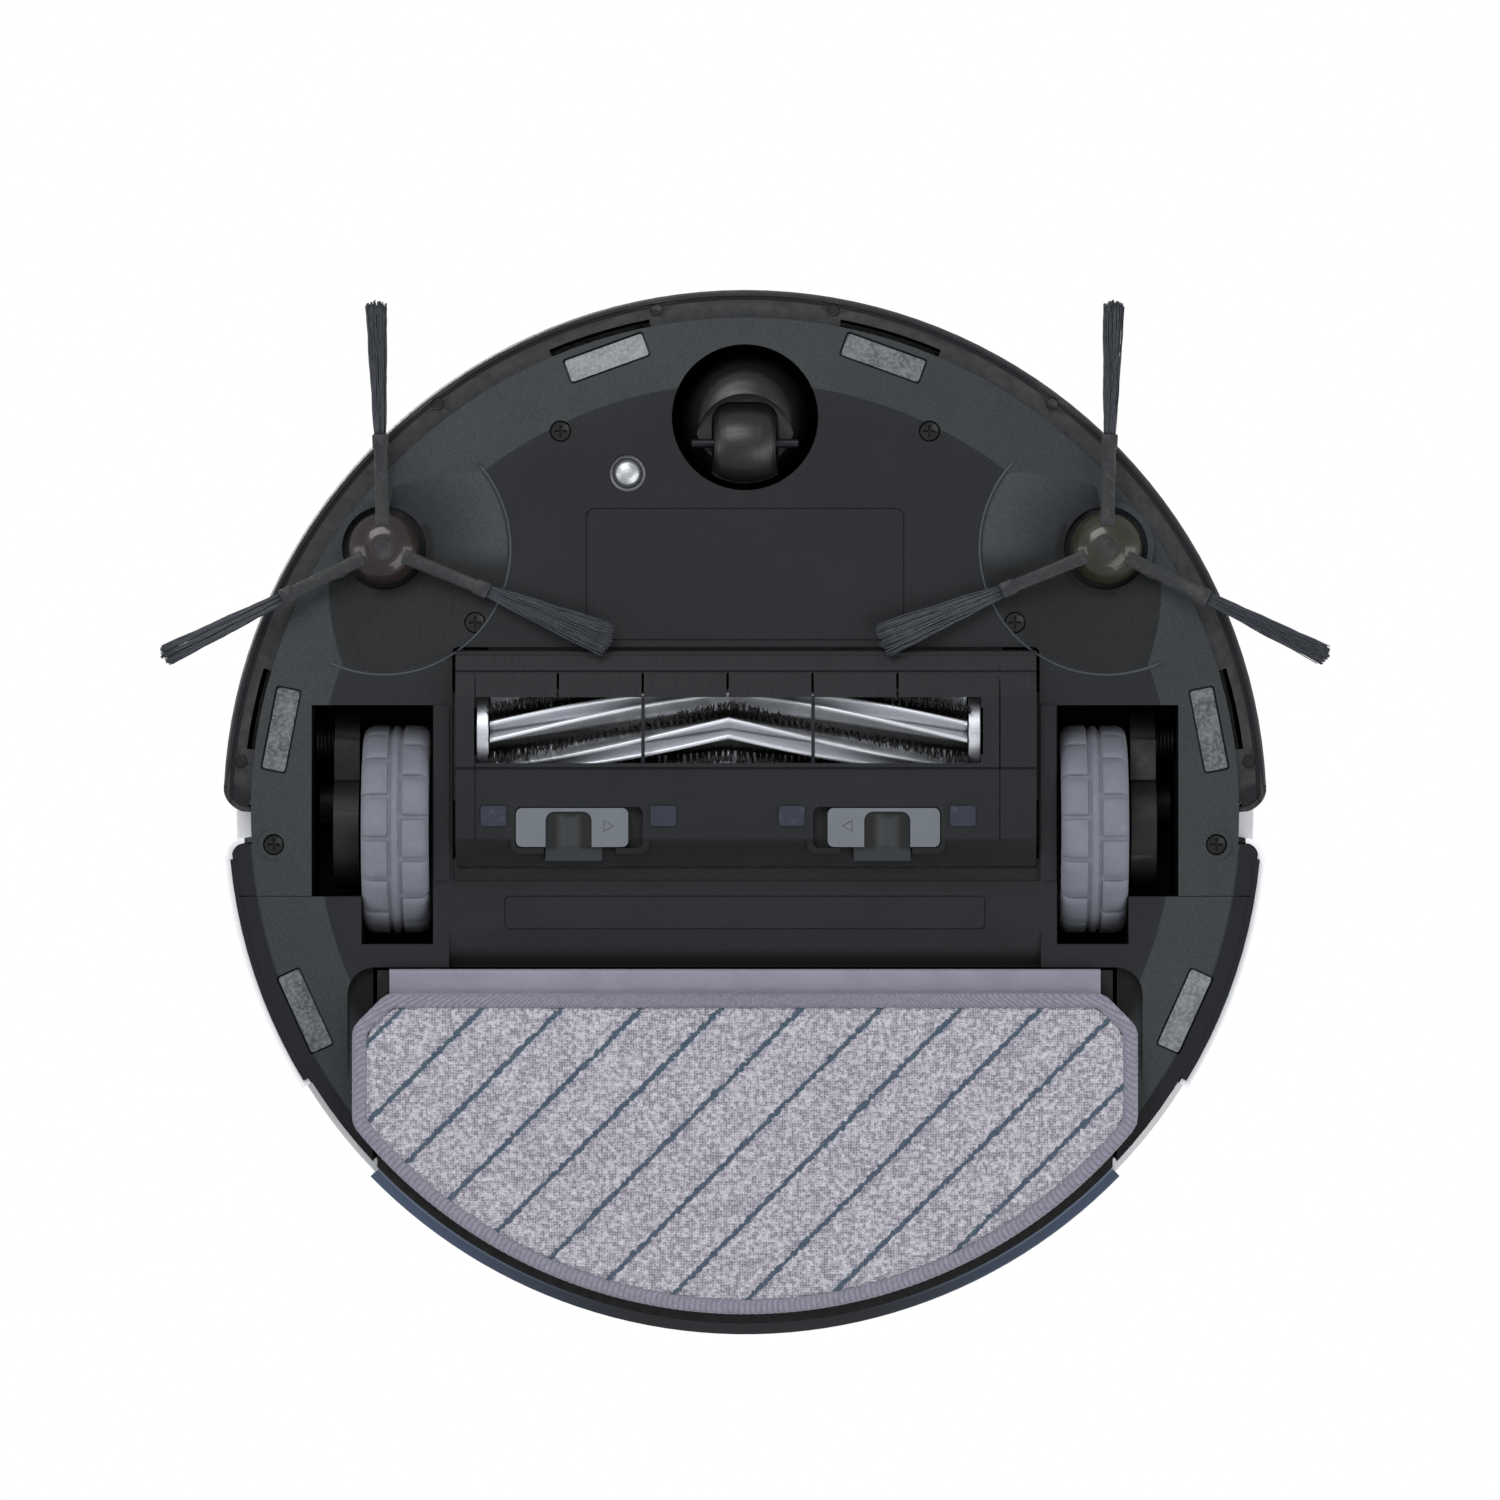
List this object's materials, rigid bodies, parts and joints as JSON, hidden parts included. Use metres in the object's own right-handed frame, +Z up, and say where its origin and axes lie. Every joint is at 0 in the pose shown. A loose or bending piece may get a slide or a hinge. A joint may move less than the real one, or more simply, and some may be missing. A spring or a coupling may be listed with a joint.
{
  "type": "robot vacuum",
  "caption": "Round robot vacuum cleaner with a mopping pad, laser turret, caster, two side brushes, a roller under a latched cover, and a rear water tank.",
  "frame": {"origin": "on the floor under the middle of the round body", "axes": "+Z up, -Y towards the bumper at the front, +Y towards the mop at the rear"},
  "size_m": [0.396, 0.35, 0.0936],
  "materials": {
    "belly_plastic": "fine matt texture",
    "black_plastic": "matt",
    "gloss_black": "glossy",
    "bumper_plastic": "satin",
    "smoked_window": "glossy, infrared-clear",
    "white_plastic": "glossy white",
    "grey_plastic": "matt",
    "latch_grey": "satin grey",
    "silver_plastic": "satin silver",
    "steel": "brushed",
    "contact_metal": "plated",
    "window_clear": "translucent grey",
    "tyre_rubber": "grey rubber",
    "arm_rubber": "dark rubber",
    "bristle": "nylon bristle",
    "cap_red": "tinted, red-brown",
    "cap_olive": "tinted, olive",
    "pad_blue": "soft dark blue",
    "tank_blue": "translucent blue-grey",
    "bin_plastic": "translucent grey",
    "filter_paper": "pleated",
    "board_green": "circuit board",
    "battery_wrap": "shrink wrap",
    "mop_cloth": "terry cloth",
    "flap_cloth": "satin band"
  },
  "bodies": {
    "chassis": {"base_chassis": "belly_plastic", "rear_shell": "white_plastic", "top_cover": "white_plastic", "turret_cap": "gloss_black", "lidar_motor": "steel", "dust_bin": "bin_plastic", "bin_filter": "filter_paper", "fan_housing": "grey_plastic", "battery_pack": "battery_wrap", "main_board": "board_green", "brush_tunnel": "black_plastic", "brush_gearbox": "grey_plastic", "side_brush_motor_left": "grey_plastic", "side_brush_motor_right": "grey_plastic", "caster_socket": "gloss_black", "cliff_windows": "window_clear", "carpet_sensor": "steel", "chassis_screws": "black_plastic", "charging_contacts": "contact_metal", "bumper_switches": "black_plastic"},
    "bumper_body": {"bumper": "bumper_plastic", "bumper_window": "smoked_window", "bumper_screws": "black_plastic"},
    "lidar_body": {"lidar_rotor": "gloss_black"},
    "fan_body": {"fan_impeller": "grey_plastic"},
    "lid_body": {"lid": "white_plastic"},
    "power_button_body": {"power_button": "latch_grey"},
    "arm_left": {"wheel_arm_left": "black_plastic", "wheel_spring_left": "steel"},
    "arm_right": {"wheel_arm_right": "black_plastic", "wheel_spring_right": "steel"},
    "wheel_left": {"wheel_hub_left": "black_plastic", "tyre_left": "tyre_rubber"},
    "wheel_right": {"wheel_hub_right": "black_plastic", "tyre_right": "tyre_rubber"},
    "caster_body": {"caster_fork": "gloss_black", "caster_axle": "steel"},
    "caster_wheel_body": {"caster_wheel": "gloss_black"},
    "cover_body": {"brush_cover": "belly_plastic", "brush_cover_pads": "pad_blue"},
    "latch_left_body": {"brush_latch_left": "latch_grey"},
    "latch_right_body": {"brush_latch_right": "latch_grey"},
    "roller_body": {"roller_core": "black_plastic", "roller_fins": "silver_plastic", "roller_bristles": "bristle", "roller_caps": "silver_plastic"},
    "side_brush_left_body": {"side_brush_left": "arm_rubber", "side_brush_cap_left": "cap_red", "side_brush_bristles_left": "bristle"},
    "side_brush_right_body": {"side_brush_right": "arm_rubber", "side_brush_cap_right": "cap_olive", "side_brush_bristles_right": "bristle"},
    "tank_body": {"water_tank": "black_plastic", "tank_face": "tank_blue", "tank_plug": "black_plastic"},
    "tank_button_body": {"tank_button": "tank_blue"},
    "mop_body": {"mop_plate": "grey_plastic", "mop_pad": "mop_cloth", "mop_flap": "flap_cloth"}
  },
  "joints": [
    {"name": "bumper_press", "type": "slide", "parent": "chassis", "child": "bumper_body", "axis": [0, 1, 0], "range_m": [0, 0.004], "stiffness_N_per_m": 500, "springref_m": -0.003},
    {"name": "lidar_spin", "type": "hinge", "parent": "chassis", "child": "lidar_body", "pos_m": [0, 0.102, 0.08], "axis": [0, 0, 1], "continuous": true},
    {"name": "fan_spin", "type": "hinge", "parent": "chassis", "child": "fan_body", "pos_m": [0.064, 0.098, 0.06], "axis": [0, 0, 1], "continuous": true},
    {"name": "lid_open", "type": "hinge", "parent": "chassis", "child": "lid_body", "pos_m": [0, 0.057, 0.077], "axis": [-1, 0, 0], "range_deg": [0, 75]},
    {"name": "power_button_press", "type": "slide", "parent": "chassis", "child": "power_button_body", "axis": [0, 0, -1], "range_m": [0, 0.001], "stiffness_N_per_m": 500, "springref_m": -0.0012},
    {"name": "wheel_arm_left_drop", "type": "hinge", "parent": "chassis", "child": "arm_left", "pos_m": [-0.142, -0.024, 0.038], "axis": [-1, 0, 0], "range_deg": [0, 24], "stiffness_Nm_per_rad": 0.25, "springref_deg": 51.57},
    {"name": "wheel_left_spin", "type": "hinge", "parent": "arm_left", "child": "wheel_left", "pos_m": [-0.117, 0.006, 0.035], "axis": [1, 0, 0], "continuous": true},
    {"name": "wheel_arm_right_drop", "type": "hinge", "parent": "chassis", "child": "arm_right", "pos_m": [0.142, -0.024, 0.038], "axis": [-1, 0, 0], "range_deg": [0, 24], "stiffness_Nm_per_rad": 0.25, "springref_deg": 51.57},
    {"name": "wheel_right_spin", "type": "hinge", "parent": "arm_right", "child": "wheel_right", "pos_m": [0.117, 0.006, 0.035], "axis": [1, 0, 0], "continuous": true},
    {"name": "caster_swivel", "type": "hinge", "parent": "chassis", "child": "caster_body", "pos_m": [0, -0.132, 0.036], "axis": [0, 0, 1], "continuous": true},
    {"name": "caster_wheel_spin", "type": "hinge", "parent": "caster_body", "child": "caster_wheel_body", "pos_m": [0, -0.1233, 0.0125], "axis": [1, 0, 0], "continuous": true},
    {"name": "brush_cover_open", "type": "hinge", "parent": "chassis", "child": "cover_body", "pos_m": [0, -0.0528, 0.007], "axis": [-1, 0, 0], "range_deg": [0, 95]},
    {"name": "latch_left_slide", "type": "slide", "parent": "cover_body", "child": "latch_left_body", "axis": [1, 0, 0], "range_m": [0, 0.004], "stiffness_N_per_m": 400, "springref_m": -0.002},
    {"name": "latch_right_slide", "type": "slide", "parent": "cover_body", "child": "latch_right_body", "axis": [-1, 0, 0], "range_m": [0, 0.004], "stiffness_N_per_m": 400, "springref_m": -0.002},
    {"name": "roller_spin", "type": "hinge", "parent": "chassis", "child": "roller_body", "pos_m": [0, -0.027, 0.0183], "axis": [1, 0, 0], "continuous": true},
    {"name": "side_brush_left_spin", "type": "hinge", "parent": "chassis", "child": "side_brush_left_body", "pos_m": [-0.1208, -0.0883, 0.015], "axis": [0, 0, 1], "continuous": true, "deforming": ["side_brush_bristles_left"]},
    {"name": "side_brush_right_spin", "type": "hinge", "parent": "chassis", "child": "side_brush_right_body", "pos_m": [0.1208, -0.0883, 0.015], "axis": [0, 0, 1], "continuous": true, "deforming": ["side_brush_bristles_right"]},
    {"name": "tank_slide", "type": "slide", "parent": "chassis", "child": "tank_body", "axis": [0, 1, 0], "range_m": [0, 0.13]},
    {"name": "tank_button_press", "type": "slide", "parent": "tank_body", "child": "tank_button_body", "axis": [0, -1, 0], "range_m": [0, 0.0015], "stiffness_N_per_m": 500, "springref_m": -0.0012},
    {"name": "mop_drop", "type": "slide", "parent": "tank_body", "child": "mop_body", "axis": [0, 0, -1], "range_m": [0, 0.015]}
  ]
}
